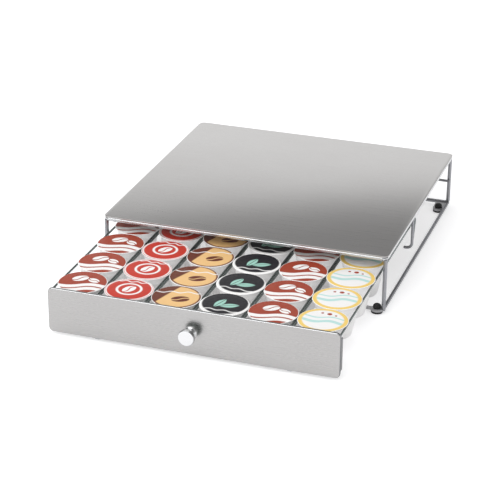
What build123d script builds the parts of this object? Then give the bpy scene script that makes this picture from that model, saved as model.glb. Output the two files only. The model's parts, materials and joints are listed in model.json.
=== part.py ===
from build123d import *
import os

# Coffee pod drawer: a bent-wire stand with a steel top plate, and a wire drawer
# that slides under it on its own skids. Millimetres, +Z up, front faces -Y.
# X = 0 is the middle plane. Inside this file Y = 0 is the plate's front edge;
# on export everything moves so that the origin is under the middle of the
# whole drawer as it stands open.

# ------------------------------------------------------------------ dimensions
# Pods
columns = 6
rows = 6
filled_rows = 4
cup_top_dia = 45.4
pod_rim_overhang = 2.8
pod_rim_thickness = 0.8
cup_step = 0.9
cup_taper = 6.0
cup_height = 39.5
cup_band_height = 8.0
cup_wall = 1.0
cup_base_round = 4.0
lid_inset = 0.7
lid_thickness = 0.2
pod_row_gap = 0.1
pod_column_gap = 0.3
cup_play = 0.45
cup_end_gap = 0.1
cup_floor_gap = 9.5

# Drawer wires
rail_dia = 2.4
rail_end_lap = 0.6
rail_overhang = 1.8
skid_floor_gap = 0.3
skid_boundaries = (1, 5)
front_low_wire_height = 10.0
rear_low_wire_height = 12.0
post_tail = 2.0
stop_post_tail = 2.3

# Drawer front
panel_thickness = 0.8
panel_rise = 2.4
panel_floor_gap = 3.2
panel_corner_radius = 5.0
panel_edge_radius = 0.9
panel_ear_gap = 0.2
ear_depth = 8.0
ear_corner_gap = 7.0
lip_pod_gap = 0.2
lip_notch_play = 0.5

# Knob and its screw
knob_base_dia = 13.2
knob_base_height = 1.6
knob_waist_dia = 7.0
knob_head_dia = 16.2
knob_head_height = 4.6
knob_reach = 14.4
knob_edge_round = 0.8
screw_dia = 4.0
screw_bite = 7.0
screw_head_dia = 8.0
screw_head_height = 2.6
screw_hole_play = 0.3
washer_dia = 10.0
washer_thickness = 0.8

# Stand wires and plate
side_play = 0.9
leg_dia = 4.4
leg_bend = 4.0
leg_stub = 4.3
leg_end_round = 1.2
leg_inset = 0.3
hoop_dia = 5.0
hoop_bend = 4.0
plate_overhang = 0.2
plate_thickness = 1.0
plate_edge_radius = 0.3
head_room = 8.1
side_rail_dia = 3.8
stop_rail_dia = 3.0
stop_rail_height = 33.7
weld_sink = 0.3
hook_dia = 3.2
hook_inset = 1.0
hook_bend = 6.0
hook_height = 22.2
hook_cup_gap = 0.4

# Feet
foot_cup_gap = 1.4
rear_foot_from_rail = 19.5
foot_base_dia = 12.8
foot_base_thickness = 2.6
foot_neck_dia = 5.8
foot_dome_dia = 8.6
foot_dome_height = 5.0
foot_dome_round = 2.6
foot_edge_round = 0.6
foot_hole_play = 0.1
tab_thickness = 2.4
tab_rim = 3.7
tab_root_width = 8.0
tab_tongue_width = 4.4
tab_tongue_reach = 11.6

# Travel
shut_gap = 0.4
stop_gap = 0.3
push_in_travel = 150.2
pull_out_travel = 22.8

# ------------------------------------------------------------- derived: drawer
cup_step_dia = cup_top_dia - 2 * cup_step
cup_base_dia = cup_step_dia - 2 * cup_taper
pod_rim_dia = cup_top_dia + 2 * pod_rim_overhang
lid_dia = pod_rim_dia - 2 * lid_inset
column_pitch = pod_rim_dia + pod_column_gap
row_pitch = pod_rim_dia + pod_row_gap
rail_pair_step = column_pitch - cup_top_dia - 2 * cup_play - rail_dia
rim_under_z = cup_floor_gap + cup_height
lid_under_z = rim_under_z + pod_rim_thickness
rail_z = rim_under_z - rail_dia / 2
cross_z = rail_z - rail_dia
skid_z = skid_floor_gap + rail_dia / 2
panel_top_z = lid_under_z + lid_thickness + panel_rise
panel_height = panel_top_z - panel_floor_gap
panel_mid_z = panel_floor_gap + panel_height / 2

# Depths behind the panel's front face
front_post_y = panel_thickness + rail_dia / 2
front_cross_y = front_post_y + rail_dia
first_row_y = front_cross_y + rail_dia / 2 + cup_end_gap + cup_top_dia / 2
last_row_y = first_row_y + (rows - 1) * row_pitch
rear_cross_y = last_row_y + cup_top_dia / 2 + cup_end_gap + rail_dia / 2
rear_post_y = rear_cross_y + rail_dia
drawer_length = rear_post_y + rail_dia / 2
lip_depth = first_row_y - pod_rim_dia / 2 - lip_pod_gap


def column_x(column):
    """Middle of a pod column; columns count 1, 2, 3 ... from the left."""
    return (column - (columns + 1) / 2) * column_pitch


def boundary_x(boundary):
    """Middle of the gap between column `boundary` and the next one."""
    return column_x(boundary) + column_pitch / 2


def cup_radius(z):
    """Outside radius of a cup's tapered wall at height z."""
    climb = (z - cup_floor_gap) / (cup_height - cup_band_height)
    return cup_base_dia / 2 + climb * (cup_step_dia - cup_base_dia) / 2


outer_rail_x = column_x(columns) + cup_top_dia / 2 + cup_play + rail_dia / 2
panel_width = 2 * (outer_rail_x + rail_dia / 2 + panel_ear_gap + panel_thickness)

# -------------------------------------------------------------- derived: stand
leg_x = outer_rail_x + rail_dia / 2 + side_play + leg_dia / 2
leg_base_z = foot_base_thickness + leg_dia / 2
hoop_x = leg_x + leg_inset
hoop_z = panel_top_z + head_room + hoop_dia / 2
plate_under_z = hoop_z + hoop_dia / 2
plate_half_width = hoop_x + hoop_dia / 2 + plate_overhang
hoop_front_y = plate_overhang + hoop_dia / 2
front_leg_y = hoop_front_y + leg_inset

# The drawer shuts with its side ears just in front of the front legs, and its
# skids' rear ends then stand just in front of the stop rail on the rear legs.
shut_y = front_leg_y - leg_dia / 2 - shut_gap - ear_depth
panel_y = shut_y - push_in_travel
stop_rail_y = shut_y + drawer_length + stop_gap + stop_rail_dia / 2
rear_leg_y = stop_rail_y + stop_rail_dia / 2 - weld_sink + leg_dia / 2
hoop_rear_y = rear_leg_y + leg_inset
plate_depth = hoop_rear_y + hoop_dia / 2 + plate_overhang
# Pulled right out, the drawer's rear posts meet the hooks' back faces.
hook_from_front = panel_y + rear_post_y - rail_dia / 2 - pull_out_travel - stop_gap - hook_dia / 2
hook_x = hoop_x - hook_inset
hook_tip_x = column_x(columns) + cup_radius(hook_height + hook_dia / 2) + hook_cup_gap

# The outer pods pass just inside the domes of the feet.
foot_dome_top_z = foot_base_thickness + tab_thickness + foot_dome_height
foot_x = column_x(columns) + cup_radius(foot_dome_top_z) + foot_cup_gap + foot_dome_dia / 2
rear_foot_y = rear_leg_y - rear_foot_from_rail
tab_under_z = foot_base_thickness

# The origin lies under the middle of the open drawer's outline.
origin_y = (plate_depth + panel_y - knob_reach) / 2

stand = {}
drawer = {}


# --------------------------------------------------------------------- helpers
def bent_wire(points, diameter, bend):
    """Round wire along straight runs joined by equal bends."""
    path = FilletPolyline(*points, radius=bend)
    return sweep(Plane(origin=path @ 0, z_dir=path % 0) * Circle(diameter / 2), path=path)


def straight_wire(start, end, diameter):
    """Round wire between two points."""
    run = Line(start, end)
    return sweep(Plane(origin=run @ 0, z_dir=run % 0) * Circle(diameter / 2), path=run)


def turned(points, plane=Plane.XZ):
    """Solid of revolution from a half outline of (radius, height) points."""
    return revolve(plane * make_face(Polyline(*points, close=True)), axis=Axis.Z)


def mirrored(shape):
    """The same piece on the other side of the middle plane."""
    return mirror(shape, about=Plane.YZ)


def group(solids):
    """Separate solids that share one node."""
    return Compound(children=list(solids))


# ------------------------------------------------------------------ top of stand
def make_top_hoop():
    width = 2 * hoop_x
    depth = hoop_rear_y - hoop_front_y
    middle = Pos(0, (hoop_front_y + hoop_rear_y) / 2, hoop_z)
    path = (middle * RectangleRounded(width, depth, hoop_bend)).wire()
    return sweep(Plane(origin=path @ 0, z_dir=path % 0) * Circle(hoop_dia / 2), path=path)


def make_top_plate():
    corner = hoop_bend + hoop_dia / 2 + plate_overhang
    outline = RectangleRounded(2 * plate_half_width, plate_depth, corner)
    plate = extrude(Pos(0, plate_depth / 2, plate_under_z) * outline, plate_thickness)
    rim = plate.faces().sort_by(Axis.Z)[-1].edges()
    return fillet(rim, plate_edge_radius)


# --------------------------------------------------------------- legs and rails
def make_front_leg():
    """Right-hand front leg: straight down from the hoop, with a rounded end in the foot's tab."""
    leg = straight_wire((leg_x, front_leg_y, hoop_z - hoop_dia / 4), (leg_x, front_leg_y, tab_under_z), leg_dia)
    return fillet(leg.faces().sort_by(Axis.Z)[0].edges(), leg_end_round)


def make_rear_leg():
    """Right-hand rear leg: down from the hoop, then bent inward to the bottom rail."""
    top = (leg_x, rear_leg_y, hoop_z - hoop_dia / 4)
    corner = (leg_x, rear_leg_y, leg_base_z)
    end = (leg_x - leg_stub, rear_leg_y, leg_base_z)
    return bent_wire([top, corner, end], leg_dia, leg_bend)


def make_hook():
    """Right-hand stop hook: down from the hoop's side, then bent inward."""
    top = (hook_x, hook_from_front, hoop_z - hoop_dia / 4)
    corner = (hook_x, hook_from_front, hook_height)
    tip = (hook_tip_x, hook_from_front, hook_height)
    return bent_wire([top, corner, tip], hook_dia, hook_bend)


top_hoop = make_top_hoop()
front_leg = make_front_leg() - top_hoop
rear_leg = make_rear_leg() - top_hoop
side_rail = straight_wire((leg_x, front_leg_y, leg_base_z), (leg_x, rear_leg_y, leg_base_z), side_rail_dia)
side_rail = side_rail - front_leg - rear_leg
hook = make_hook() - top_hoop

rear_rail_end = leg_x - leg_stub
rear_rail = straight_wire((-rear_rail_end, rear_leg_y, leg_base_z), (rear_rail_end, rear_leg_y, leg_base_z), leg_dia)
stop_rail_end = leg_x + stop_rail_dia / 2
stop_rail = straight_wire((-stop_rail_end, stop_rail_y, stop_rail_height), (stop_rail_end, stop_rail_y, stop_rail_height), stop_rail_dia)
stop_rail = stop_rail - rear_leg - mirrored(rear_leg)

stand["top_plate"] = make_top_plate()
stand["top_hoop"] = top_hoop
stand["rear_bottom_rail"] = rear_rail
stand["rear_stop_rail"] = stop_rail
for name, piece in {"front_leg": front_leg, "rear_leg": rear_leg, "side_rail": side_rail, "stop_hook": hook}.items():
    stand[f"{name}_right"] = piece
    stand[f"{name}_left"] = mirrored(piece)


# -------------------------------------------------------------------------- feet
def make_foot(foot_y):
    """Rubber foot: base, a neck through the tab's hole, and a dome on top."""
    neck_top = tab_under_z + tab_thickness
    outline = [(0, 0), (foot_base_dia / 2, 0), (foot_base_dia / 2, tab_under_z), (foot_neck_dia / 2, tab_under_z),
               (foot_neck_dia / 2, neck_top), (foot_dome_dia / 2, neck_top), (foot_dome_dia / 2, foot_dome_top_z),
               (0, foot_dome_top_z)]
    foot = turned(outline)
    circles = foot.edges().filter_by(GeomType.CIRCLE).sort_by(Axis.Z)
    foot = fillet(circles[-1], foot_dome_round)
    bases = [edge for edge in foot.edges().filter_by(GeomType.CIRCLE) if abs(edge.radius - foot_base_dia / 2) < 0.01]
    return Pos(foot_x, foot_y, 0) * fillet(bases, foot_edge_round)


def plan_box(x_low, x_high, y_low, y_high):
    """Rectangle in plan, at the underside of the foot tabs."""
    return Pos((x_low + x_high) / 2, (y_low + y_high) / 2, tab_under_z) * Rectangle(x_high - x_low, y_high - y_low)


def make_tab(foot_y, outline):
    """Flat steel tab with the foot's hole, around the given plan outline."""
    ring = Pos(foot_x, foot_y, tab_under_z) * Circle(foot_neck_dia / 2 + tab_rim)
    hole = Pos(foot_x, foot_y, tab_under_z) * Circle((foot_neck_dia + foot_hole_play) / 2)
    return extrude(outline + ring - hole, tab_thickness)


half_root = tab_root_width / 2
half_tongue = tab_tongue_width / 2
front_root = plan_box(foot_x, leg_x, front_leg_y - half_root, front_leg_y + half_root)
front_tongue = plan_box(foot_x - tab_tongue_reach, foot_x, front_leg_y - half_tongue, front_leg_y + half_tongue)
front_tab = make_tab(front_leg_y, front_root + front_tongue)
front_tab = front_tab - front_leg - side_rail
front_tab = front_tab.solids().sort_by(SortBy.VOLUME)[-1]

gusset = plan_box(foot_x - foot_neck_dia / 2 - tab_rim, leg_x, rear_foot_y, rear_leg_y)
rear_tab = make_tab(rear_foot_y, gusset)
rear_tab = rear_tab - rear_leg - side_rail - rear_rail
rear_tab = rear_tab.solids().sort_by(SortBy.VOLUME)[-1]

for end, foot_y, tab in (("front", front_leg_y, front_tab), ("rear", rear_foot_y, rear_tab)):
    stand[f"foot_tab_{end}_right"] = tab
    stand[f"foot_tab_{end}_left"] = mirrored(tab)
    stand[f"foot_{end}_right"] = make_foot(foot_y)
    stand[f"foot_{end}_left"] = mirrored(make_foot(foot_y))


# ------------------------------------------------------------------ drawer front
def upright(width, height, radius, y):
    """Rounded rectangle standing in the panel's plane at depth y."""
    place = Plane(origin=(0, y, panel_mid_z), x_dir=(1, 0, 0), z_dir=(0, 1, 0))
    return place * RectangleRounded(width, height, radius)


def make_drawer_front():
    skin = 2 * panel_thickness
    pan = extrude(upright(panel_width, panel_height, panel_corner_radius, 0), lip_depth)
    ear_height = panel_height - 2 * ear_corner_gap
    ears = Pos(0, ear_depth / 2, panel_mid_z) * Box(panel_width, ear_depth, ear_height)
    pan = pan + ears
    front_rim = pan.faces().sort_by(Axis.Y)[0].edges()
    pan = fillet(front_rim, panel_edge_radius)
    hollow = upright(panel_width - skin, panel_height - skin, panel_corner_radius - panel_thickness, panel_thickness)
    pan = pan - extrude(hollow, ear_depth)
    # Notches let the skid wires pass through the bottom lip.
    notch_width = rail_pair_step + rail_dia + 2 * lip_notch_play
    for boundary in skid_boundaries:
        notch = Box(notch_width, lip_depth, 2 * panel_thickness + panel_edge_radius)
        pan = pan - Pos(boundary_x(boundary), panel_thickness + lip_depth / 2, panel_floor_gap) * notch
    hole = Cylinder((screw_dia + screw_hole_play) / 2, 4 * panel_thickness, rotation=(90, 0, 0))
    return pan - Pos(0, 0, panel_mid_z) * hole


# -------------------------------------------------------------------------- knob
def facing_front(shape):
    """Turn a piece that grows along +Z so that it grows out of the panel."""
    return Pos(0, 0, panel_mid_z) * Rot(90, 0, 0) * shape


def make_knob():
    head_start = knob_reach - knob_head_height
    base_r, waist_r, head_r = knob_base_dia / 2, knob_waist_dia / 2, knob_head_dia / 2
    throat = Spline((base_r, knob_base_height), (waist_r, (knob_base_height + head_start) / 2), (head_r, head_start),
                    tangents=[(-1, 0.2), (1, 0.25)])
    back = Polyline((head_r, head_start), (head_r, knob_reach), (0, knob_reach), (0, 0), (base_r, 0), (base_r, knob_base_height))
    knob = revolve(Plane.XZ * make_face([throat, back]), axis=Axis.Z)
    knob = fillet(knob.edges().filter_by(GeomType.CIRCLE).sort_by(Axis.Z)[-1], knob_edge_round)
    thread = Pos(0, 0, screw_bite / 2) * Cylinder(screw_dia / 2, screw_bite)
    return facing_front(knob - thread)


def make_screw():
    head_under = -(panel_thickness + washer_thickness)
    shank_length = screw_bite - head_under
    shank = Pos(0, 0, head_under + shank_length / 2) * Cylinder(screw_dia / 2, shank_length)
    head = Pos(0, 0, head_under - screw_head_height / 2) * Cylinder(screw_head_dia / 2, screw_head_height)
    head = fillet(head.edges().filter_by(GeomType.CIRCLE).sort_by(Axis.Z)[0], screw_head_height / 3)
    slot = Pos(0, 0, head_under - screw_head_height) * Box(screw_head_dia, screw_head_height / 3, screw_head_height)
    return facing_front(shank + head - slot)


def make_washer():
    ring = Circle(washer_dia / 2) - Circle((screw_dia + screw_hole_play) / 2)
    return facing_front(Pos(0, 0, -panel_thickness - washer_thickness) * extrude(ring, washer_thickness))


drawer["drawer_front"] = make_drawer_front()
drawer["knob"] = make_knob()
drawer["knob_washer"] = make_washer()
drawer["knob_screw"] = make_screw()


# ------------------------------------------------------------------ drawer wires
def cross_wire(y, z, half_length=outer_rail_x):
    """Wire across the drawer."""
    return straight_wire((-half_length, y, z), (half_length, y, z), rail_dia)


def rail(x, front, rear):
    """Straight rail under the pods' rims."""
    return straight_wire((x, front, rail_z), (x, rear, rail_z), rail_dia)


def post(x, cross_y, post_y, low_z):
    """A rail's end, bent over the cross wire and down to low_z."""
    lap = rail_end_lap if post_y < cross_y else -rail_end_lap
    return bent_wire([(x, cross_y + lap, rail_z), (x, post_y, rail_z), (x, post_y, low_z)], rail_dia, rail_dia)


def skid(x):
    """A rail's two ends bent down and joined by a run along the counter."""
    points = [(x, front_cross_y + rail_end_lap, rail_z), (x, front_post_y, rail_z), (x, front_post_y, skid_z),
              (x, rear_post_y, skid_z), (x, rear_post_y, rail_z), (x, rear_cross_y - rail_end_lap, rail_z)]
    return bent_wire(points, rail_dia, rail_dia)


bent_rail_span = (front_cross_y + rail_end_lap, rear_cross_y - rail_end_lap)
plain_rail_span = (front_cross_y - rail_overhang, rear_cross_y + rail_overhang)

drawer["front_top_wire"] = cross_wire(front_cross_y, cross_z)
drawer["front_low_wire"] = cross_wire(front_cross_y, front_low_wire_height)
drawer["rear_top_wire"] = cross_wire(rear_cross_y, cross_z)
outer_skid_x = boundary_x(skid_boundaries[-1]) + rail_pair_step / 2
drawer["rear_low_wire"] = cross_wire(rear_cross_y, rear_low_wire_height, outer_skid_x)
stop_post_z = hook_height - hook_dia / 2 - stop_post_tail
for side, x in (("left", -outer_rail_x), ("right", outer_rail_x)):
    drawer[f"outer_rail_{side}"] = rail(x, *bent_rail_span)
    drawer[f"front_post_{side}"] = post(x, front_cross_y, front_post_y, front_low_wire_height - post_tail)
    drawer[f"rear_post_{side}"] = post(x, rear_cross_y, rear_post_y, stop_post_z)
for boundary in range(1, columns):
    span = bent_rail_span if boundary in skid_boundaries else plain_rail_span
    pair = [boundary_x(boundary) + offset for offset in (-rail_pair_step / 2, rail_pair_step / 2)]
    drawer[f"rail_pair_{boundary}_{boundary + 1}"] = group(rail(x, *span) for x in pair)
    if boundary in skid_boundaries:
        side = "left" if boundary_x(boundary) < 0 else "right"
        drawer[f"skid_{side}"] = group(skid(x) for x in pair)


# -------------------------------------------------------------------------- pods
def make_cup():
    """Thin plastic cup: tapered wall, a straight band near the top and a rim."""
    top_r, step_r, base_r = cup_top_dia / 2, cup_step_dia / 2, cup_base_dia / 2
    band_z = rim_under_z - cup_band_height
    outside = [(0, cup_floor_gap), (base_r, cup_floor_gap), (step_r, band_z), (top_r, band_z + (top_r - step_r)),
               (top_r, rim_under_z), (pod_rim_dia / 2, rim_under_z), (pod_rim_dia / 2, lid_under_z)]
    inside = [(top_r - cup_wall, lid_under_z), (top_r - cup_wall, band_z + (top_r - step_r)), (step_r - cup_wall, band_z),
              (base_r - cup_wall, cup_floor_gap + cup_wall), (0, cup_floor_gap + cup_wall)]
    cup = turned(outside + inside)
    return fillet(cup.edges().filter_by(GeomType.CIRCLE).sort_by(Axis.Z)[0], cup_base_round)


def make_lid():
    """Foil lid on the cup's rim."""
    return Pos(0, 0, lid_under_z + lid_thickness / 2) * Cylinder(lid_dia / 2, lid_thickness)


cup, lid = make_cup(), make_lid()
for column in range(1, columns + 1):
    places = [Pos(column_x(column), first_row_y + row * row_pitch, 0) for row in range(filled_rows)]
    drawer[f"pod_cups_column_{column}"] = group(place * cup for place in places)
    drawer[f"pod_lids_column_{column}"] = group(place * lid for place in places)

# ------------------------------------------------------------------------ export
os.makedirs("parts", exist_ok=True)
for name, piece in stand.items():
    export_step(Pos(0, -origin_y, 0) * piece, f"parts/{name}.step")
for name, piece in drawer.items():
    export_step(Pos(0, panel_y - origin_y, 0) * piece, f"parts/{name}.step")
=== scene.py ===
# %% [markdown]
# # A coffee pod drawer
# A bent-wire stand carries a steel top plate, and a wire drawer full of pods
# slides under it. The CAD model fixes every size and place. This lesson gives
# each piece its surface, and remodels the pieces that need softer edges or
# finer detail than the solids have. Sizes are written in millimetres and
# turned into metres, Blender's unit, where they are used.

# %% Load the fixed frame
import json
import math

import bpy
from mathutils import Matrix, Vector

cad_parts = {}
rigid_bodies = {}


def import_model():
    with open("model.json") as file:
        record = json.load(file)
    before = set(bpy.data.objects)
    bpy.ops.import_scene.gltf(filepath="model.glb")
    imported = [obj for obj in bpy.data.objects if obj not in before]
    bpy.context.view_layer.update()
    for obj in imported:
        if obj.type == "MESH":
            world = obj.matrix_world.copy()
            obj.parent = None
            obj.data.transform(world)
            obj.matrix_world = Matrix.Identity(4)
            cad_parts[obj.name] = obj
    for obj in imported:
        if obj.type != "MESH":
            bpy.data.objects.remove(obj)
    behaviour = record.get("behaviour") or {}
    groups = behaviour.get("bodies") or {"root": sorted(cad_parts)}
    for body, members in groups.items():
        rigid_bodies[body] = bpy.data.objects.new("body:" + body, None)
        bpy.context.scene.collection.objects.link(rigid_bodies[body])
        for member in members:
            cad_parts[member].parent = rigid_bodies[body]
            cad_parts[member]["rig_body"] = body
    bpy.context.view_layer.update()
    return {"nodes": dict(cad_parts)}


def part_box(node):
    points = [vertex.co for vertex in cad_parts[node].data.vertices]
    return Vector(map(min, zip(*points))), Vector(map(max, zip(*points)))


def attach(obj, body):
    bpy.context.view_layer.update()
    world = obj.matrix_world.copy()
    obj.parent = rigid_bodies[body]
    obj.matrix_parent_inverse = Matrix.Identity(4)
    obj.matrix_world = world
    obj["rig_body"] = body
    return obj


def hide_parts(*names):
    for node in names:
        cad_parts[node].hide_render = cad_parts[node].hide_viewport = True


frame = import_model()
MM = 0.001
print("pieces in the frame:", len(frame["nodes"]))

# %% [markdown]
# ## The camera
# The photograph was taken with a long lens from the right of the front and
# from above. Measured points of the plate, the drawer front and the lids gave
# the camera's place, the point that it looks at, its lens and a slight roll.
# A camera's own X runs right in the picture, its Y up and its Z backwards, so
# those three directions are the columns of its rotation.

# %% Camera at the photograph's angle
CAMERA_PLACE = Vector((0.54490, -1.68815, 0.82878))
CAMERA_TARGET = Vector((-0.01074, -0.00995, 0.02273))
CAMERA_ROLL = math.radians(0.587)
CAMERA_LENS = 126.66
SENSOR_WIDTH = 36.0

bpy.ops.object.select_all(action="DESELECT")
bpy.ops.object.camera_add(location=CAMERA_PLACE)
camera = bpy.context.object
backwards = (CAMERA_PLACE - CAMERA_TARGET).normalized()
level_right = Vector((0, 0, 1)).cross(backwards).normalized()
level_up = backwards.cross(level_right)
right = level_right * math.cos(CAMERA_ROLL) + level_up * math.sin(CAMERA_ROLL)
up = backwards.cross(right)
camera.rotation_euler = Matrix((right, up, backwards)).transposed().to_euler()
camera.data.lens = CAMERA_LENS
camera.data.sensor_width = SENSOR_WIDTH
camera.data.clip_end = 20.0
bpy.context.scene.camera = camera
bpy.context.scene.view_settings.view_transform = "Standard"
print("camera to target, m:", round((CAMERA_PLACE - CAMERA_TARGET).length, 3))

# %% [markdown]
# ## Floor and light
# A product shot stands on white paper. The floor here is a plain pale sheet
# that takes real shadows. A floor that is lit until it is white would also
# wash out the object, so the lamps stay plain and the floor adds a little of
# its own white, which only camera and mirror rays see. The shadow then stays
# soft and grey, and the steel still mirrors a white floor.

# %% Floor
FLOOR_SIZE = 12.0
FLOOR_COLOUR = (0.80, 0.80, 0.81, 1.0)
OWN_WHITE_TO_CAMERA = 0.49
OWN_WHITE_IN_METAL = 0.24

bpy.ops.mesh.primitive_plane_add(size=FLOOR_SIZE)
floor = bpy.context.object
floor.name = "floor"
floor_look = bpy.data.materials.new("white_paper")
floor_look.use_nodes = True
nodes, links = floor_look.node_tree.nodes, floor_look.node_tree.links
nodes.clear()
paper = nodes.new("ShaderNodeBsdfDiffuse")
paper.inputs["Color"].default_value = FLOOR_COLOUR
own_white = nodes.new("ShaderNodeEmission")
rays = nodes.new("ShaderNodeLightPath")
to_camera = nodes.new("ShaderNodeMath")
to_camera.operation = "MULTIPLY"
to_camera.inputs[1].default_value = OWN_WHITE_TO_CAMERA
in_metal = nodes.new("ShaderNodeMath")
in_metal.operation = "MULTIPLY_ADD"
in_metal.inputs[1].default_value = OWN_WHITE_IN_METAL
both = nodes.new("ShaderNodeAddShader")
out = nodes.new("ShaderNodeOutputMaterial")
links.new(rays.outputs["Is Camera Ray"], to_camera.inputs[0])
links.new(rays.outputs["Is Glossy Ray"], in_metal.inputs[0])
links.new(to_camera.outputs[0], in_metal.inputs[2])
links.new(in_metal.outputs[0], own_white.inputs["Strength"])
links.new(paper.outputs[0], both.inputs[0])
links.new(own_white.outputs[0], both.inputs[1])
links.new(both.outputs[0], out.inputs["Surface"])
floor.data.materials.append(floor_look)

# %% [markdown]
# Steel shows what stands round it more than its own colour, so the room has
# two brightnesses. Surfaces are lit by even white. Metal mirrors a room that
# is lighter near the table and overhead, and darker between, as a studio is.
# The camera itself sees plain white.

# %% World
WORLD_LIGHT = 0.66
# (height of the direction, brightness) of what metal mirrors, from the table up
MIRRORED_ROOM = ((0.10, 0.40), (0.30, 0.32), (0.62, 0.24), (0.88, 0.55))

world = bpy.data.worlds.new("studio")
bpy.context.scene.world = world
world.use_nodes = True
nodes, links = world.node_tree.nodes, world.node_tree.links
nodes.clear()


def background(brightness):
    glow = nodes.new("ShaderNodeBackground")
    glow.inputs["Color"].default_value = (1, 1, 1, 1)
    glow.inputs["Strength"].default_value = brightness
    return glow


soft, white, room = background(WORLD_LIGHT), background(1.0), background(1.0)
direction = nodes.new("ShaderNodeTexCoord")
height = nodes.new("ShaderNodeSeparateXYZ")
bands = nodes.new("ShaderNodeValToRGB")
for position, _ in MIRRORED_ROOM[1:-1]:
    bands.color_ramp.elements.new(position)
for stop, (position, brightness) in zip(bands.color_ramp.elements, MIRRORED_ROOM):
    stop.position = position
    stop.color = (brightness, brightness, brightness, 1)
rays = nodes.new("ShaderNodeLightPath")
off_metal = nodes.new("ShaderNodeMixShader")
from_camera = nodes.new("ShaderNodeMixShader")
out = nodes.new("ShaderNodeOutputWorld")
links.new(direction.outputs["Generated"], height.inputs[0])
links.new(height.outputs["Z"], bands.inputs[0])
links.new(bands.outputs[0], room.inputs["Color"])
links.new(rays.outputs["Is Glossy Ray"], off_metal.inputs[0])
links.new(soft.outputs[0], off_metal.inputs[1])
links.new(room.outputs[0], off_metal.inputs[2])
links.new(rays.outputs["Is Camera Ray"], from_camera.inputs[0])
links.new(off_metal.outputs[0], from_camera.inputs[1])
links.new(white.outputs[0], from_camera.inputs[2])
links.new(from_camera.outputs[0], out.inputs["Surface"])


# %% [markdown]
# Two large soft boxes, above and in front, light the object from the left.
# Two cards only show in reflections. They are placed and tilted so that the
# plate's shine fades as in the photograph from its camera. From other sides
# the plate's shine is not matched to anything, and from behind it is bright.

# %% Lamps
def soft_box(name, place, aim, size, power, tilt=0.0):
    """A rectangular lamp that looks at a point and that the camera can't see."""
    bpy.ops.object.light_add(type="AREA", location=place)
    lamp = bpy.context.object
    lamp.name = name
    lamp.data.shape = "RECTANGLE"
    lamp.data.size, lamp.data.size_y = size
    lamp.data.energy = power
    facing = (Vector(place) - Vector(aim)).to_track_quat("Z", "Y").to_matrix()
    lamp.rotation_euler = (facing @ Matrix.Rotation(math.radians(tilt), 3, "Z")).to_euler()
    lamp.visible_camera = False
    return lamp


def mirrored_card(name, place, aim, size, power, tilt=0.0):
    """A glowing card that only metal and gloss mirror; it lights nothing else."""
    card = soft_box(name, place, aim, size, power, tilt)
    card.visible_diffuse = False
    return card


soft_box("overhead_box", (-0.35, -0.4, 1.7), (0, 0, 0), (2.2, 1.8), 10.5)
# Bright streaks along the front of the cross wires and rims mirror this one.
soft_box("front_box", (-0.65, -1.7, 1.15), (0, 0, 0.05), (1.8, 1.0), 9.0)
# A low card behind the plate, which tilts down to the right. The plate's back half mirrors the
# card and its front half the dark above it, so its shine fades towards the right front corner.
mirrored_card("rear_card", (-0.40, 0.85, 0.28), (-0.35, 0, 0.22), (1.5, 0.52), 1.80, tilt=23)
# The hoop's right side and the legs mirror this one.
mirrored_card("side_card", (1.0, 1.0, 0.12), (0.1, 0.1, 0.05), (1.0, 0.5), 1.8)

# %% [markdown]
# ## Ways of working
# Most operators act on everything that is selected, so each piece starts from
# an empty selection, and faces or edges are then picked by where they are.
# Two helpers cover most of the object: one stacks rings for turned pieces,
# the other finishes a piece so that its place is in its mesh.


# %% Helpers for selecting and finishing
def let_go():
    """Nothing selected, in object mode."""
    if bpy.context.mode != "OBJECT":
        bpy.ops.object.mode_set(mode="OBJECT")
    bpy.ops.object.select_all(action="DESELECT")


def pick(obj, kind, wanted):
    """Selects only the vertices, edges or faces that pass the test, in edit mode."""
    bpy.ops.object.mode_set(mode="EDIT")
    bpy.ops.mesh.select_mode(type={"vertices": "VERT", "edges": "EDGE", "polygons": "FACE"}[kind])
    bpy.ops.mesh.select_all(action="DESELECT")
    bpy.ops.object.mode_set(mode="OBJECT")
    for part in getattr(obj.data, kind):
        part.select = bool(wanted(part))
    bpy.ops.object.mode_set(mode="EDIT")


def middle(obj, part):
    """Middle of an edge or face, in metres."""
    corners = [obj.data.vertices[i].co for i in part.vertices]
    return sum(corners, Vector()) / len(corners)


def settle(obj, name, smooth_under=35):
    """Merges doubles, turns faces outwards and puts the piece's place into its mesh."""
    let_go()
    obj.name = name
    obj.select_set(True)
    bpy.context.view_layer.objects.active = obj
    bpy.ops.object.mode_set(mode="EDIT")
    bpy.ops.mesh.select_all(action="SELECT")
    bpy.ops.mesh.remove_doubles(threshold=0.000002)
    bpy.ops.mesh.normals_make_consistent(inside=False)
    bpy.ops.object.mode_set(mode="OBJECT")
    bpy.ops.object.transform_apply(location=True, rotation=True, scale=True)
    bpy.ops.object.shade_smooth_by_angle(angle=math.radians(smooth_under))
    return obj


def finish_piece(obj, body, looks, replaced=()):
    """Gives a piece its looks, its body and the CAD nodes that it stands for."""
    obj.data.materials.clear()
    for look in looks:
        obj.data.materials.append(look)
    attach(obj, body)
    if replaced:
        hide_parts(*replaced)
    print(obj.name, len(obj.data.polygons), "faces")


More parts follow.
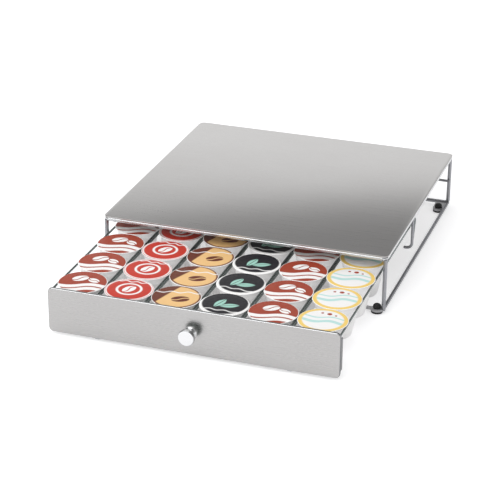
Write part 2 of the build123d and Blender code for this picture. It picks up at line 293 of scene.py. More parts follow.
def turned(name, rings, segments, foot, smooth_under=35):
    """A turned piece: a closed circle is extruded and resized once for each (radius, height), in mm."""
    let_go()
    first_radius, first_height = rings[0]
    level = Vector(foot) + Vector((0, 0, first_height * MM))
    bpy.ops.mesh.primitive_circle_add(vertices=segments, radius=first_radius * MM, location=level)
    obj = bpy.context.object
    bpy.ops.object.mode_set(mode="EDIT")
    bpy.ops.mesh.select_all(action="SELECT")
    bpy.ops.mesh.edge_face_add()
    bpy.ops.mesh.select_mode(type="EDGE")
    for (radius, height), (next_radius, next_height) in zip(rings, rings[1:]):
        rise = Vector((0, 0, (next_height - height) * MM))
        level = level + rise
        bpy.ops.mesh.extrude_region_move(TRANSFORM_OT_translate={"value": rise})
        share = next_radius / radius
        bpy.ops.transform.resize(value=(share, share, 1), center_override=level)
    bpy.ops.mesh.merge(type="CENTER")
    return settle(obj, name, smooth_under)


# %% [markdown]
# ## Finishes
# Every finish is built from nodes on the object's own coordinates, so it
# stays put from any side. Metals get their character from roughness that
# changes over the surface far more than from colour.


# %% Helpers for finishes
def srgb(code):
    """A colour as it is written on a screen, such as C8C5C3, as linear light."""
    levels = [int(code[i:i + 2], 16) / 255 for i in (0, 2, 4)]
    return tuple(v / 12.92 if v <= 0.04045 else ((v + 0.055) / 1.055) ** 2.4 for v in levels) + (1.0,)


def new_finish(name):
    """A material with its shader, ready for nodes."""
    material = bpy.data.materials.new(name)
    material.use_nodes = True
    tree = material.node_tree
    return material, tree.nodes, tree.links, tree.nodes["Principled BSDF"]


def grain(nodes, links, scale, detail=3.0):
    """Noise on object coordinates; scale is waves per metre along X, Y and Z."""
    place = nodes.new("ShaderNodeTexCoord")
    turn = nodes.new("ShaderNodeMapping")
    turn.inputs["Scale"].default_value = scale
    noise = nodes.new("ShaderNodeTexNoise")
    noise.inputs["Scale"].default_value = 1.0
    noise.inputs["Detail"].default_value = detail
    links.new(place.outputs["Object"], turn.inputs["Vector"])
    links.new(turn.outputs["Vector"], noise.inputs["Vector"])
    return noise.outputs["Fac"]


def spread(nodes, links, value, low, high):
    """Stretches a noise value to run from low to high."""
    reach = nodes.new("ShaderNodeMapRange")
    reach.inputs["From Min"].default_value = 0.3
    reach.inputs["From Max"].default_value = 0.7
    reach.inputs["To Min"].default_value = low
    reach.inputs["To Max"].default_value = high
    links.new(value, reach.inputs["Value"])
    return reach.outputs["Result"]


def paint(nodes, links, mask, under, over):
    """Lays one colour over another where the mask is 1; each is a colour or a node's output."""
    mix = nodes.new("ShaderNodeMix")
    mix.data_type = "RGBA"
    for socket, colour in (("A", under), ("B", over)):
        if isinstance(colour, tuple):
            mix.inputs[socket].default_value = colour
        else:
            links.new(colour, mix.inputs[socket])
    links.new(mask, mix.inputs["Factor"])
    return mix.outputs["Result"]


def relief(nodes, links, value, depth, shader):
    """Raises and sinks the surface by depth, in metres, as the value says."""
    bump = nodes.new("ShaderNodeBump")
    bump.inputs["Distance"].default_value = depth
    links.new(value, bump.inputs["Height"])
    links.new(bump.outputs["Normal"], shader.inputs["Normal"])


# %% [markdown]
# The plate and the front are taken to be stainless sheet, ground with a fine
# belt. The grain is taken to run along X and is far too small to see as single lines. Stretched
# noise varies the roughness a little and moves the surface by less than a
# thousandth of a millimetre, which draws reflections out across the grain.
# A brushed photograph would repeat and smear at an angle; noise doesn't.

# %% Satin steel
SHEET_GRAIN = (12, 2600, 2600)
PLATE_SCRATCH_DEPTH = 0.0000008
FRONT_SCRATCH_DEPTH = 0.0000004


def make_satin_steel(name, rough_low, rough_high, depth):
    finish, nodes, links, shader = new_finish(name)
    shader.inputs["Metallic"].default_value = 1.0
    brushed = grain(nodes, links, SHEET_GRAIN, 2.0)
    cloudy = grain(nodes, links, (14, 14, 14))
    colour = paint(nodes, links, cloudy, srgb("C0BEBD"), srgb("C6C5C4"))
    links.new(colour, shader.inputs["Base Color"])
    links.new(spread(nodes, links, brushed, rough_low, rough_high), shader.inputs["Roughness"])
    relief(nodes, links, brushed, depth, shader)
    return finish


satin_steel = make_satin_steel("satin_steel", 0.27, 0.32, PLATE_SCRATCH_DEPTH)
front_steel = make_satin_steel("front_steel", 0.265, 0.285, FRONT_SCRATCH_DEPTH)


# %% [markdown]
# The wires look chromed, as such racks usually are. Patches differ a little
# in gloss and the surface ripples faintly, so that it isn't a plain mirror.
# One chrome would do on a real drawer. Here its tone is painted darker or lighter from piece to
# piece: painted shade on the drawer's wires, the side rails, the pan's lips and the knob's back, and
# painted highlights on the hoop, the skids, the pan's rounding and the knob's face and foot. Each was set
# to the tone in the photograph.

# %% Chromed wire, pan rims and the polished knob
def make_chrome(name, dark, light, rough_low, rough_high):
    finish, nodes, links, shader = new_finish(name)
    shader.inputs["Metallic"].default_value = 1.0
    patches = grain(nodes, links, (60, 60, 60))
    fine = grain(nodes, links, (900, 900, 900), 2.0)
    links.new(paint(nodes, links, patches, srgb(dark), srgb(light)), shader.inputs["Base Color"])
    links.new(spread(nodes, links, patches, rough_low, rough_high), shader.inputs["Roughness"])
    relief(nodes, links, fine, 0.000006, shader)
    return finish


# Painted shade and highlights: the three darkest copies below are painted shade, and the three lightest are
# painted highlights. Only chrome_wire and bright_chrome are plain chrome tones.
rim_steel_painted_shade = make_chrome("rim_steel_painted_shade", "76787A", "828486", 0.30, 0.38)
edge_painted_highlight_chrome = make_chrome("edge_painted_highlight_chrome", "E6E7E8", "F0F1F2", 0.20, 0.30)
chrome_wire = make_chrome("chrome_wire", "9B9CA0", "ABACB0", 0.24, 0.34)
low_painted_shade_chrome = make_chrome("low_painted_shade_chrome", "7C7D81", "88898D", 0.24, 0.34)
shaded_chrome = make_chrome("shaded_chrome", "767E7C", "868E8C", 0.20, 0.30)
hoop_painted_highlight_chrome = make_chrome("hoop_painted_highlight_chrome", "D6D7D9", "E2E3E4", 0.16, 0.26)
bright_chrome = make_chrome("bright_chrome", "BEBFC0", "CACBCC", 0.05, 0.10)
face_painted_highlight_chrome = make_chrome("face_painted_highlight_chrome", "F2F3F4", "F8F8F9", 0.10, 0.16)


# %% [markdown]
# Tabs, screw and washer are taken to be zinc plated. Zinc has a matt, mottled crystal
# look between paint and metal, so the shader is only partly metallic.

# %% Plain zinc steel for tabs, screw and washer
def make_tab_steel():
    finish, nodes, links, shader = new_finish("tab_steel")
    shader.inputs["Metallic"].default_value = 0.6
    mottled = grain(nodes, links, (420, 420, 420))
    colour = paint(nodes, links, mottled, srgb("B2B2B4"), srgb("BEBEC0"))
    links.new(colour, shader.inputs["Base Color"])
    links.new(spread(nodes, links, mottled, 0.45, 0.60), shader.inputs["Roughness"])
    relief(nodes, links, mottled, 0.00001, shader)
    return finish


tab_steel = make_tab_steel()


# %% [markdown]
# The feet are taken to be moulded rubber: nearly black and slightly porous,
# with some variation in tone and gloss.

# %% Rubber
def make_rubber():
    finish, nodes, links, shader = new_finish("rubber")
    dusty = grain(nodes, links, (250, 250, 250))
    pores = grain(nodes, links, (2200, 2200, 2200), 2.0)
    colour = paint(nodes, links, dusty, srgb("131314"), srgb("232324"))
    links.new(colour, shader.inputs["Base Color"])
    links.new(spread(nodes, links, dusty, 0.45, 0.65), shader.inputs["Roughness"])
    relief(nodes, links, pores, 0.00003, shader)
    return finish


rubber = make_rubber()


# %% [markdown]
# Cups are thin white plastic that passes some light. Simulated scattering was
# tried with two settings, and tinted or darkened the cups. A bright base and a
# weak glow come closer. The glow is painted light: it lightens the cups, and
# the gaps between them, as light through the walls would. Its strength was set
# so that the gaps between the cups are about as light as in the photograph.

# %% White plastic of the cups
# Painted light: a weak glow of the cup plastic.
CUP_PAINTED_GLOW_COLOUR = (1.0, 0.985, 0.97, 1.0)
CUP_PAINTED_GLOW = 0.10


def make_cup_plastic():
    finish, nodes, links, shader = new_finish("cup_plastic")
    cloudy = grain(nodes, links, (80, 80, 80))
    colour = paint(nodes, links, cloudy, srgb("F6F5F5"), srgb("FCFBFB"))
    links.new(colour, shader.inputs["Base Color"])
    links.new(spread(nodes, links, cloudy, 0.30, 0.42), shader.inputs["Roughness"])
    shader.inputs["Specular IOR Level"].default_value = 0.35
    # The glow is painted light that stands in for light passing through the wall; it isn't a measured
    # value.
    shader.inputs["Emission Color"].default_value = CUP_PAINTED_GLOW_COLOUR
    shader.inputs["Emission Strength"].default_value = CUP_PAINTED_GLOW
    relief(nodes, links, grain(nodes, links, (700, 700, 700), 2.0), 0.00001, shader)
    return finish


cup_plastic = make_cup_plastic()

# %% [markdown]
# ## Printed foil lids
# A lid is a disc of foil with a lacquered print. A picture file would be one
# way to print it. Here each design is drawn with maths nodes, as shapes on
# the lid's own UV map, so it is sharp at any distance. The map runs from -1
# to 1 across the lid. The designs are plain ones made up for this lesson:
# beans, leaves, waves and dots.


# %% Helpers that draw on a lid
LID_MAP = "lid_face"
SOFT_EDGE = 0.025


class LidArt:
    """The node tree of one print, with shapes as masks from 0 to 1."""

    def __init__(self, name):
        self.material, self.nodes, self.links, self.shader = new_finish(name)
        self.shader.inputs["Specular IOR Level"].default_value = 0.25
        uv = self.nodes.new("ShaderNodeUVMap")
        uv.uv_map = LID_MAP
        self.face = self.shift(uv.outputs[0], (0.5, 0.5), 0, (0.5, 0.5))

    def shift(self, vector, centre, turn, size):
        """Coordinates in which a turned oval of that centre and size has radius 1."""
        place = self.nodes.new("ShaderNodeMapping")
        place.vector_type = "TEXTURE"
        place.inputs["Location"].default_value = (*centre, 0)
        place.inputs["Rotation"].default_value = (0, 0, math.radians(turn))
        place.inputs["Scale"].default_value = (*size, 1)
        self.links.new(vector, place.inputs["Vector"])
        return place.outputs[0]

    def math(self, operation, *values):
        node = self.nodes.new("ShaderNodeMath")
        node.operation = operation
        for socket, value in zip(node.inputs, values):
            if isinstance(value, (int, float)):
                socket.default_value = value
            else:
                self.links.new(value, socket)
        return node.outputs[0]

    def below(self, value, limit, soft=SOFT_EDGE):
        """1 where value is under the limit, 0 above it, with a soft edge."""
        edge = self.nodes.new("ShaderNodeMapRange")
        edge.inputs["From Min"].default_value = limit - soft
        edge.inputs["From Max"].default_value = limit + soft
        edge.inputs["To Min"].default_value = 1.0
        edge.inputs["To Max"].default_value = 0.0
        self.links.new(value, edge.inputs["Value"])
        return edge.outputs["Result"]

    def axes(self, vector):
        split = self.nodes.new("ShaderNodeSeparateXYZ")
        self.links.new(vector, split.inputs[0])
        return split.outputs[0], split.outputs[1]

    def reach(self, vector):
        """Distance from the middle of those coordinates."""
        length = self.nodes.new("ShaderNodeVectorMath")
        length.operation = "LENGTH"
        self.links.new(vector, length.inputs[0])
        return length.outputs["Value"]

    def disc(self, radius, vector=None):
        return self.below(self.reach(vector or self.face), radius)

    def dot(self, centre, radius):
        return self.disc(1.0, self.shift(self.face, centre, 0, (radius, radius)))

    def ring(self, radius, half_width):
        away = self.math("ABSOLUTE", self.math("SUBTRACT", self.reach(self.face), radius))
        return self.below(away, half_width)

    def outside(self, centre, radius):
        """The part of the lid outside a disc, which leaves a crescent at one side."""
        away = self.reach(self.shift(self.face, centre, 0, (1, 1)))
        return self.below(self.math("MULTIPLY", away, -1.0), -radius)

    def without(self, one, other):
        return self.math("MULTIPLY", one, self.math("SUBTRACT", 1.0, other))

    def wave(self, centre, turn, swing, waves, half_width):
        """A wavy stripe through the lid."""
        along, across = self.axes(self.shift(self.face, centre, turn, (1, 1)))
        curve = self.math("MULTIPLY", self.math("SINE", self.math("MULTIPLY", along, waves)), swing)
        away = self.math("ABSOLUTE", self.math("SUBTRACT", across, curve))
        return self.below(away, half_width)

    def beyond(self, turn, distance):
        """The part of the lid past a straight line, in the direction turn."""
        along, _ = self.axes(self.shift(self.face, (0, 0), turn, (1, 1)))
        return self.below(self.math("MULTIPLY", along, -1.0), -distance)

    def bean(self, centre, turn, length, width):
        """A coffee bean: an oval with an S-shaped slit."""
        oval = self.shift(self.face, centre, turn, (length, width))
        along, across = self.axes(oval)
        curve = self.math("MULTIPLY", self.math("SINE", self.math("MULTIPLY", along, math.pi)), 0.25)
        away = self.math("ABSOLUTE", self.math("SUBTRACT", across, curve))
        return self.without(self.disc(1.0, oval), self.below(away, 0.13, 0.06))

    def leaf(self, centre, turn, length, width):
        """A pointed leaf with a vein."""
        along, across = self.axes(self.shift(self.face, centre, turn, (length, width)))
        away = self.math("ABSOLUTE", across)
        outline = self.math("ADD", away, self.math("MULTIPLY", along, along))
        return self.without(self.below(outline, 1.0, 0.08), self.below(away, 0.08, 0.05))

    def done(self, colour):
        """Links the finished print, with the foil's faint wrinkles under it."""
        wrinkles = grain(self.nodes, self.links, (260, 260, 260), 2.0)
        rough = spread(self.nodes, self.links, wrinkles, 0.36, 0.48)
        self.links.new(colour, self.shader.inputs["Base Color"])
        self.links.new(rough, self.shader.inputs["Roughness"])
        relief(self.nodes, self.links, wrinkles, 0.00006, self.shader)
        return self.material

    def layers(self, ground, *prints):
        """The ground with each (mask, colour) laid over it in turn."""
        cloudy = grain(self.nodes, self.links, (110, 110, 110))
        darker = tuple(v * 0.93 for v in ground[:3]) + (1.0,)
        colour = paint(self.nodes, self.links, cloudy, darker, ground)
        for mask, over in prints:
            colour = paint(self.nodes, self.links, mask, colour, over)
        return self.done(colour)


# %% [markdown]
# Each print is a ground colour with shapes laid over it in turn. The colours
# are few, as a foil printer would choose them, and five prints serve the six
# columns, because one kind fills two of them.

# %% The five prints
WHITE = srgb("FEFDFC")
RUST = srgb("A9432B")
RED = srgb("D03A2A")
CREAM = srgb("F8CB8B")
BROWN = srgb("6E3320")
BLACK = srgb("232127")
MINT = srgb("A6D8C9")
GOLD = srgb("F9D678")
AQUA = srgb("BFE6E2")


def make_prints():
    """One finish for each print, by name."""
    art = LidArt("lid_rust")
    rust = art.layers(
        RUST,
        (art.wave((0, -0.52), 8, 0.10, 3.4, 0.30), WHITE),
        (art.wave((0, -0.52), 8, 0.10, 3.4, 0.05), RUST),
        (art.bean((-0.18, 0.30), 35, 0.36, 0.24), WHITE),
        (art.bean((0.42, 0.22), -25, 0.26, 0.18), WHITE),
    )
    art = LidArt("lid_red")
    red = art.layers(
        RED,
        (art.ring(0.95, 0.03), WHITE),
        (art.ring(0.50, 0.05), WHITE),
        (art.bean((0, 0), 60, 0.34, 0.22), WHITE),
        (art.wave((0, 0.72), 0, 0.05, 14, 0.035), WHITE),
    )
    art = LidArt("lid_cream")
    cream = art.layers(
        CREAM,
        (art.beyond(160, 0.42), BROWN),
        (art.ring(0.97, 0.04), BROWN),
        (art.bean((0.22, -0.18), 20, 0.38, 0.25), BROWN),
        (art.wave((0.2, 0.45), 10, 0.06, 9, 0.035), WHITE),
    )
    art = LidArt("lid_black")
    black = art.layers(
        BLACK,
        (art.outside((0, 0.08), 0.94), WHITE),
        (art.leaf((-0.20, 0.05), 70, 0.42, 0.17), MINT),
        (art.leaf((0.24, -0.08), 20, 0.42, 0.17), MINT),
        (art.wave((0, -0.56), 0, 0.04, 10, 0.03), WHITE),
    )
    art = LidArt("lid_white")
    white = art.layers(
        WHITE,
        (art.wave((0, -0.15), 6, 0.08, 5, 0.10), AQUA),
        (art.wave((0, 0.22), 6, 0.08, 5, 0.05), AQUA),
        (art.dot((0.1, 0.56), 0.10), RUST),
        (art.dot((-0.2, 0.56), 0.06), RUST),
        (art.dot((0.38, 0.5), 0.05), RUST),
        (art.ring(0.93, 0.09), GOLD),
    )
    return {"lid_rust": rust, "lid_red": red, "lid_cream": cream, "lid_black": black, "lid_white": white}


lid_prints = make_prints()
LID_OF_COLUMN = {1: "lid_rust", 2: "lid_red", 3: "lid_cream", 4: "lid_black", 5: "lid_rust", 6: "lid_white"}

# %% [markdown]
# ## The pods
# A pod is a thin moulded cup with a rolled rim. Its wall tapers, is pressed
# into flutes that stiffen it, and ends in a straight band under the rim. One
# cup is turned from rings, fluted by pulling every other strip of the wall
# inwards, and then copied to its 24 places.

# %% One cup
# (radius, height) of each ring in mm: the outer wall up to the rim, then the inside down to the floor
CUP_PROFILE = (
    (4.0, 10.6), (9.6, 10.6), (10.4, 10.0), (11.2, 9.55), (12.4, 9.5), (13.6, 9.75),
    (14.6, 10.3), (15.4, 11.2), (15.95, 12.4), (16.3, 13.8), (17.1, 17.8), (18.2, 23.5),
    (19.4, 30.0), (20.5, 35.8), (21.3, 39.6), (21.8, 40.9), (22.2, 41.4), (22.6, 41.9),
    (22.7, 42.6), (22.7, 48.2), (22.95, 48.75), (23.5, 49.0), (24.9, 49.0), (25.35, 49.1),
    (25.5, 49.4), (25.35, 49.7), (24.9, 49.8), (21.8, 49.8), (21.7, 49.0), (21.6, 42.2),
    (20.7, 41.0), (14.6, 12.0), (4.0, 11.7),
)
CUP_SEGMENTS = 48
FLUTE_DEPTH = 0.985
FLUTES_FROM, FLUTES_TO = 15.0, 38.0
FLUTED_WALL_RADIUS = 16.5

ROWS_FILLED = 4
column_low, column_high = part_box("pod_cups_column_1")
cup_radius = (column_high.x - column_low.x) / 2
first_cup = Vector((column_low.x + cup_radius, column_low.y + cup_radius, 0))
next_cup = Vector((0, (column_high.y - column_low.y - 2 * cup_radius) / (ROWS_FILLED - 1), 0))
print("row pitch in mm:", round(next_cup.y / MM, 2))

cup = turned("cup_pattern", CUP_PROFILE, CUP_SEGMENTS, first_cup, smooth_under=40)


def on_flute(corner):
    """Outer wall vertices on every other strip."""
    offset = corner.co - first_cup
    strip = round(math.degrees(math.atan2(offset.y, offset.x)) / (360 / CUP_SEGMENTS))
    outer = math.hypot(offset.x, offset.y) > FLUTED_WALL_RADIUS * MM
    return strip % 2 == 0 and outer and FLUTES_FROM * MM < offset.z < FLUTES_TO * MM


pick(cup, "vertices", on_flute)
bpy.ops.transform.resize(value=(FLUTE_DEPTH, FLUTE_DEPTH, 1), center_override=first_cup)
let_go()

# %% [markdown]
# A foil lid is sealed flat round its edge and is taken to bulge a little
# inside the seal, as such lids often do. The bulge is only a few tenths of a
# millimetre.

# %% One lid
LID_PROFILE = (
    (24.8, 49.8), (24.8, 49.94), (24.65, 50.0), (22.9, 50.0), (22.5, 49.95), (22.0, 49.97),
    (21.2, 50.06), (18.0, 50.18), (12.0, 50.28), (6.0, 50.33), (1.0, 50.34),
)
LID_SEGMENTS = 64
LID_RADIUS = 24.8

lid = turned("lid_pattern", LID_PROFILE, LID_SEGMENTS, first_cup, smooth_under=50)


def map_lid(obj, centre, turn):
    """Writes the lid's UV map: 0.5, 0.5 in the middle and the edge half a unit away."""
    face = obj.data.uv_layers.get(LID_MAP) or obj.data.uv_layers.new(name=LID_MAP)
    cos, sin = math.cos(turn), math.sin(turn)
    for loop in obj.data.loops:
        offset = obj.data.vertices[loop.vertex_index].co - centre
        across = (offset.x * cos + offset.y * sin) / (2 * LID_RADIUS * MM)
        along = (offset.y * cos - offset.x * sin) / (2 * LID_RADIUS * MM)
        face.data[loop.index].uv = (0.5 + across, 0.5 + along)


# %% [markdown]
# Every cup and lid is copied with a mesh of its own to its place. Nobody
# sets pods down all turned the same way, so each lid's print is turned by a
# few degrees, always by the same list.

# %% Fill the drawer
LID_TURNS = (-5, 3, -2, 6, 1, -4, 4, -1)


def copy_to(pattern, offset):
    """A copy with its own mesh, moved by offset."""
    let_go()
    pattern.select_set(True)
    bpy.context.view_layer.objects.active = pattern
    bpy.ops.object.duplicate(linked=False)
    bpy.ops.transform.translate(value=offset)
    bpy.ops.object.transform_apply(location=True, rotation=True, scale=True)
    return bpy.context.object


def join(parts, name):
    """Joins separate parts into one object."""
    let_go()
    for part in parts:
        part.select_set(True)
    bpy.context.view_layer.objects.active = parts[0]
    bpy.ops.object.join()
    parts[0].name = name
    return parts[0]


for column, print_name in LID_OF_COLUMN.items():
    node = f"pod_cups_column_{column}"
    sideways = Vector((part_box(node)[0].x - column_low.x, 0, 0))
    cups, lids = [], []
    for row in range(ROWS_FILLED):
        offset = sideways + next_cup * row
        cups.append(copy_to(cup, offset))
        lids.append(copy_to(lid, offset))
        turn = math.radians(LID_TURNS[(column * 3 + row) % len(LID_TURNS)])
        map_lid(lids[-1], first_cup + offset, turn)
    finish_piece(join(cups, f"cups_{column}"), "drawer", [cup_plastic], [node])
    lid_look = [lid_prints[print_name]]
    finish_piece(join(lids, f"lids_{column}"), "drawer", lid_look, [f"pod_lids_column_{column}"])

let_go()
cup.select_set(True)
lid.select_set(True)
bpy.ops.object.delete()

# %% [markdown]
# ## The top plate
# The plate is a flat sheet of satin steel with rounded corners. A cube of its
# size is the start. Its upright corner edges are bevelled wide, and then its
# rims a little, because a real sheet edge is never sharp and the thin line of
# light along it is what shows that it is metal.


# %% Helper that starts a piece as a block
def block(low, high):
    """A cube that fills the box from low to high, with its place in its mesh."""
    let_go()
    bpy.ops.mesh.primitive_cube_add(size=1, location=(low + high) / 2, scale=high - low)
    bpy.ops.object.transform_apply(location=True, rotation=True, scale=True)
    return bpy.context.object


def runs_along(obj, edge, axis):
    """True for an edge that is parallel to that axis."""
    start, end = (obj.data.vertices[i].co for i in edge.vertices)
    run = end - start
    return abs(run[axis]) > 0.999 * run.length


def near(value, target, within=0.02):
    """True where a length in metres is a target in metres, within that many mm."""
    return abs(value - target) < within * MM


# %% Top plate
PLATE_CORNER = 6.7
PLATE_TOP_ROUND = 0.3
PLATE_UNDER_ROUND = 0.12

plate_low, plate_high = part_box("top_plate")
plate = block(plate_low, plate_high)
pick(plate, "edges", lambda edge: runs_along(plate, edge, 2))
bpy.ops.mesh.bevel(offset=PLATE_CORNER * MM, segments=8, affect="EDGES")
pick(plate, "edges", lambda edge: near(middle(plate, edge).z, plate_high.z))
bpy.ops.mesh.bevel(offset=PLATE_TOP_ROUND * MM, segments=3, affect="EDGES")
pick(plate, "edges", lambda edge: near(middle(plate, edge).z, plate_low.z))
bpy.ops.mesh.bevel(offset=PLATE_UNDER_ROUND * MM, segments=2, affect="EDGES")
settle(plate, "steel_plate")
finish_piece(plate, "stand", [satin_steel], ["top_plate"])

# %% [markdown]
# ## The drawer front
# The front is a shallow pan pressed from sheet: a face, a rounded rim, a
# narrow lip all round and a deeper ear at each end. One block without its
# back is the pan's outside. Solidify then gives it the sheet's thickness
# inwards, as pressing does, so the inside follows the outside everywhere.

# %% Drawer front
FRONT_SHEET = 0.8
FRONT_CORNER = 5.0
FRONT_EDGE_ROUND = 0.9
LIP_DEPTH = 2.7
EAR_INSET = 7.0
NOTCH_HALF_WIDTH = 3.0
CUT_EDGE_ROUND = 0.14
SKID_X = 102.6

front_low, front_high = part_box("drawer_front")
lip_back = front_low.y + LIP_DEPTH * MM
front = block(front_low, Vector((front_high.x, lip_back, front_high.z)))
pick(front, "polygons", lambda face: face.normal.y > 0.9)
bpy.ops.mesh.delete(type="ONLY_FACE")
pick(front, "edges", lambda edge: runs_along(front, edge, 1))
bpy.ops.mesh.bevel(offset=FRONT_CORNER * MM, segments=8, affect="EDGES")
pick(front, "edges", lambda edge: near(middle(front, edge).y, front_low.y))
bpy.ops.mesh.bevel(offset=FRONT_EDGE_ROUND * MM, segments=4, affect="EDGES")

# %% [markdown]
# The ends of the pan are cut at two heights, and the edges between the cuts
# are drawn back into ears. They hide the outer rails' ends from the side.

# %% Ears at both ends
ear_bottom = front_low.z + EAR_INSET * MM
ear_top = front_high.z - EAR_INSET * MM
for height in (ear_bottom, ear_top):
    pick(front, "polygons", lambda face: abs(face.normal.x) > 0.999)
    bpy.ops.mesh.bisect(plane_co=(0, 0, height), plane_no=(0, 0, 1))


def on_ear(edge):
    """Back edges of the pan's ends, between the ears' heights."""
    place = middle(front, edge)
    return near(place.y, lip_back) and near(abs(place.x), front_high.x) and ear_bottom < place.z < ear_top


pick(front, "edges", on_ear)
bpy.ops.mesh.extrude_region_move(TRANSFORM_OT_translate={"value": (0, front_high.y - lip_back, 0)})

# %% [markdown]
# The skids bend up behind the front, so the bottom lip is cut away for them.
# The sheet's thickness comes last, and softens every cut edge with it.

# %% Notches in the bottom lip for the skids, then the sheet's thickness
for side in (-1, 1):
    for edge_x in (SKID_X - NOTCH_HALF_WIDTH, SKID_X + NOTCH_HALF_WIDTH):
        pick(front, "polygons", lambda face: face.normal.z < -0.999)
        bpy.ops.mesh.bisect(plane_co=(side * edge_x * MM, 0, 0), plane_no=(1, 0, 0))


def in_notch(face):
    """Bottom lip between the two cuts."""
    place = middle(front, face)
    return face.normal.z < -0.999 and abs(abs(place.x) / MM - SKID_X) < NOTCH_HALF_WIDTH


pick(front, "polygons", in_notch)
bpy.ops.mesh.delete(type="FACE")
let_go()
front.select_set(True)
sheet = front.modifiers.new("sheet", "SOLIDIFY")
sheet.thickness = FRONT_SHEET * MM
sheet.offset = -1
sheet.use_even_offset = True
bpy.ops.object.modifier_apply(modifier="sheet")
rounding = front.modifiers.new("cut_edges", "BEVEL")
rounding.width = CUT_EDGE_ROUND * MM
rounding.segments = 2
rounding.limit_method = "ANGLE"
rounding.angle_limit = math.radians(50)
bpy.ops.object.modifier_apply(modifier="cut_edges")
settle(front, "front_pan")
finish_piece(front, "drawer", [front_steel, rim_steel_painted_shade, edge_painted_highlight_chrome], ["drawer_front"])
# The lips and ears are painted darker, as painted shade, and the rounding brighter, as a painted highlight,
# than the face, as the photograph has them.
ROUNDED_FROM, ROUNDED_TO = 0.25, 0.85
FACES_FRONT = 0.3
TURNS_AWAY = 0.35
for face in front.data.polygons:
    place = middle(front, face)
    outer = place.y < front_low.y + FRONT_EDGE_ROUND * MM
    if outer and ROUNDED_FROM < face.normal.z < ROUNDED_TO and face.normal.y < -FACES_FRONT:
        face.material_index = 2
    elif abs(face.normal.x) > TURNS_AWAY or abs(face.normal.z) > TURNS_AWAY:
        face.material_index = 1
print("drawer front depth in mm:", round((front_high.y - front_low.y) / MM, 2))

# %% [markdown]
# ## The knob and the feet
# Both are turned shapes. A knob is polished, so its waist needs many rings:
# its mirror image of the room shows every corner that a coarse profile has.

# %% Knob
# (radius, height) of each ring, from the foot on the front's face to the knob's face
KNOB_PROFILE = (
    (6.4, 0.0), (6.6, 0.2), (6.6, 1.1), (6.45, 1.5), (6.0, 1.85), (5.2, 2.4),
    (4.5, 3.1), (3.9, 4.0), (3.55, 5.0), (3.5, 5.9), (3.7, 6.8), (4.2, 7.7),
    (5.0, 8.5), (6.3, 9.2), (7.6, 9.6), (8.3, 9.9), (8.6, 10.25), (8.7, 10.7),
    (8.7, 13.5), (8.6, 13.95), (8.35, 14.2), (7.9, 14.33), (7.2, 14.38), (3.0, 14.4),
    (0.5, 14.4),
)
KNOB_SEGMENTS = 96

knob_low, knob_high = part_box("knob")
knob = turned("knob", KNOB_PROFILE, KNOB_SEGMENTS, (0, 0, 0), smooth_under=40)
knob.rotation_euler = (math.radians(90), 0, 0)
knob.location = (0, knob_high.y, (knob_low.z + knob_high.z) / 2)
settle(knob, "turned_knob", 40)
knob_looks = [bright_chrome, face_painted_highlight_chrome, shaded_chrome, edge_painted_highlight_chrome]
finish_piece(knob, "drawer", knob_looks, ["knob"])
# A painted highlight on the face and foot and painted shade on the back stand in for what the photographed
# knob mirrors.
KNOB_FOOT = 1.9
for face in knob.data.polygons:
    if face.normal.y < -0.98:
        face.material_index = 1
    elif face.normal.y > 0.3:
        face.material_index = 2
    elif middle(knob, face).y > knob_high.y - KNOB_FOOT * MM:
        face.material_index = 3

# %% [markdown]
# A rubber foot is pushed through the hole in its tab: a wide sole under the
# tab, a neck in the hole, and a dome above that holds it. One turned profile
# with a groove gives all three, and is stood under each corner.

# %% Rubber feet
FOOT_PROFILE = (
    (5.4, 0.0), (6.1, 0.15), (6.4, 0.6), (6.4, 2.0), (6.25, 2.45), (5.8, 2.6),
    (2.9, 2.6), (2.9, 5.0), (4.1, 5.0), (4.3, 5.2), (4.3, 6.7), (4.15, 6.9),
    (4.15, 7.1), (4.3, 7.3), (4.2, 8.0), (3.8, 8.8), (3.1, 9.5), (2.0, 9.9),
    (0.5, 10.0),
)
FOOT_SEGMENTS = 40

for corner in ("front_left", "front_right", "rear_left", "rear_right"):
    foot_low, foot_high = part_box(f"foot_{corner}")
    under = (foot_low + foot_high) / 2
    foot = turned(f"rubber_{corner}", FOOT_PROFILE, FOOT_SEGMENTS, (under.x, under.y, 0))
    finish_piece(foot, "stand", [rubber], [f"foot_{corner}"])

# %% [markdown]
# ## The drawer's rear posts
# The ends of the outer rails bend down at the back, and these posts stop the
# drawer at the hooks. They are hidden in the photograph. The solids stand
# upright; here the posts lean in towards the bottom, which nothing shows on
# the real drawer. The lean only brings them nearer to the hook in the
# photograph's view, where one wire is seen. A circle is extruded along the rail, spun round the
# bend and extruded down,
# and its last ring is then moved in by the lean.

# %% Rear posts
WIRE_RADIUS = 1.2
BEND_RADIUS = 2.4
BEND_STEPS = 8
WIRE_SIDES = 20
POST_LEAN = 1.9

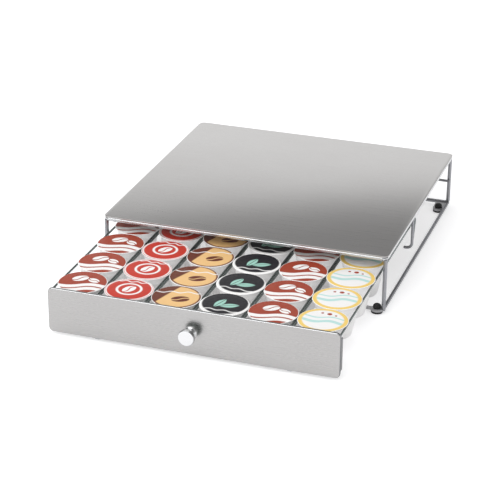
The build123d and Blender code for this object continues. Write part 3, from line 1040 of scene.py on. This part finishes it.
for side, inwards in (("left", 1), ("right", -1)):
    low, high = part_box(f"rear_post_{side}")
    start = Vector(((low.x + high.x) / 2, low.y, high.z - WIRE_RADIUS * MM))
    bend_start_y = high.y - (WIRE_RADIUS + BEND_RADIUS) * MM
    bend_end_z = start.z - BEND_RADIUS * MM
    let_go()
    bpy.ops.mesh.primitive_circle_add(
        vertices=WIRE_SIDES, radius=WIRE_RADIUS * MM, location=start,
        rotation=(math.radians(90), 0, 0), fill_type="NGON",
    )
    post = bpy.context.object
    bpy.ops.object.transform_apply(location=True, rotation=True, scale=True)
    bpy.ops.object.mode_set(mode="EDIT")
    bpy.ops.mesh.select_mode(type="FACE")
    bpy.ops.mesh.select_all(action="SELECT")
    bpy.ops.mesh.extrude_region_move(TRANSFORM_OT_translate={"value": (0, bend_start_y - start.y, 0)})
    bend_centre = (start.x, bend_start_y, bend_end_z)
    bpy.ops.mesh.spin(steps=BEND_STEPS, angle=math.radians(90), center=bend_centre, axis=(1, 0, 0))
    lean = (inwards * POST_LEAN * MM, 0, low.z - bend_end_z)
    bpy.ops.mesh.extrude_region_move(TRANSFORM_OT_translate={"value": lean})
    settle(post, f"post_{side}")
    finish_piece(post, "drawer", [shaded_chrome], [f"rear_post_{side}"])
    corners = (*post.bound_box[0], *post.bound_box[6])
    print("post box in mm:", [round(v / MM, 2) for v in corners])

# %% [markdown]
# ## The wires that stay as they are
# Bent and welded wire is round and plain, so the CAD solids already have the
# right shape. They keep their meshes and only get a finish. The hoop and the
# skids get the lightest chrome, a painted highlight, the legs and hooks a darker one, and the side
# rails and the drawer's wires the darkest, a painted shade, as they look in the photograph.

# %% Dress the CAD pieces
for name, node in frame["nodes"].items():
    if name in ("top_plate", "drawer_front"):
        look = satin_steel
    elif name.startswith("foot_tab") or name in ("knob_screw", "knob_washer"):
        look = tab_steel
    elif name.startswith("foot_"):
        look = rubber
    elif name == "knob":
        look = bright_chrome
    elif name.startswith("pod_cups"):
        look = cup_plastic
    elif name.startswith("pod_lids"):
        look = lid_prints[LID_OF_COLUMN[int(name[-1])]]
    # Painted highlight on the hoop and skids; painted shade on the side rails and the drawer's wires.
    elif name == "top_hoop" or name.startswith("skid"):
        look = hoop_painted_highlight_chrome
    elif name.startswith("side_rail"):
        look = low_painted_shade_chrome
    elif node["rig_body"] == "drawer":
        look = shaded_chrome
    else:
        look = chrome_wire
    node.data.materials.clear()
    node.data.materials.append(look)
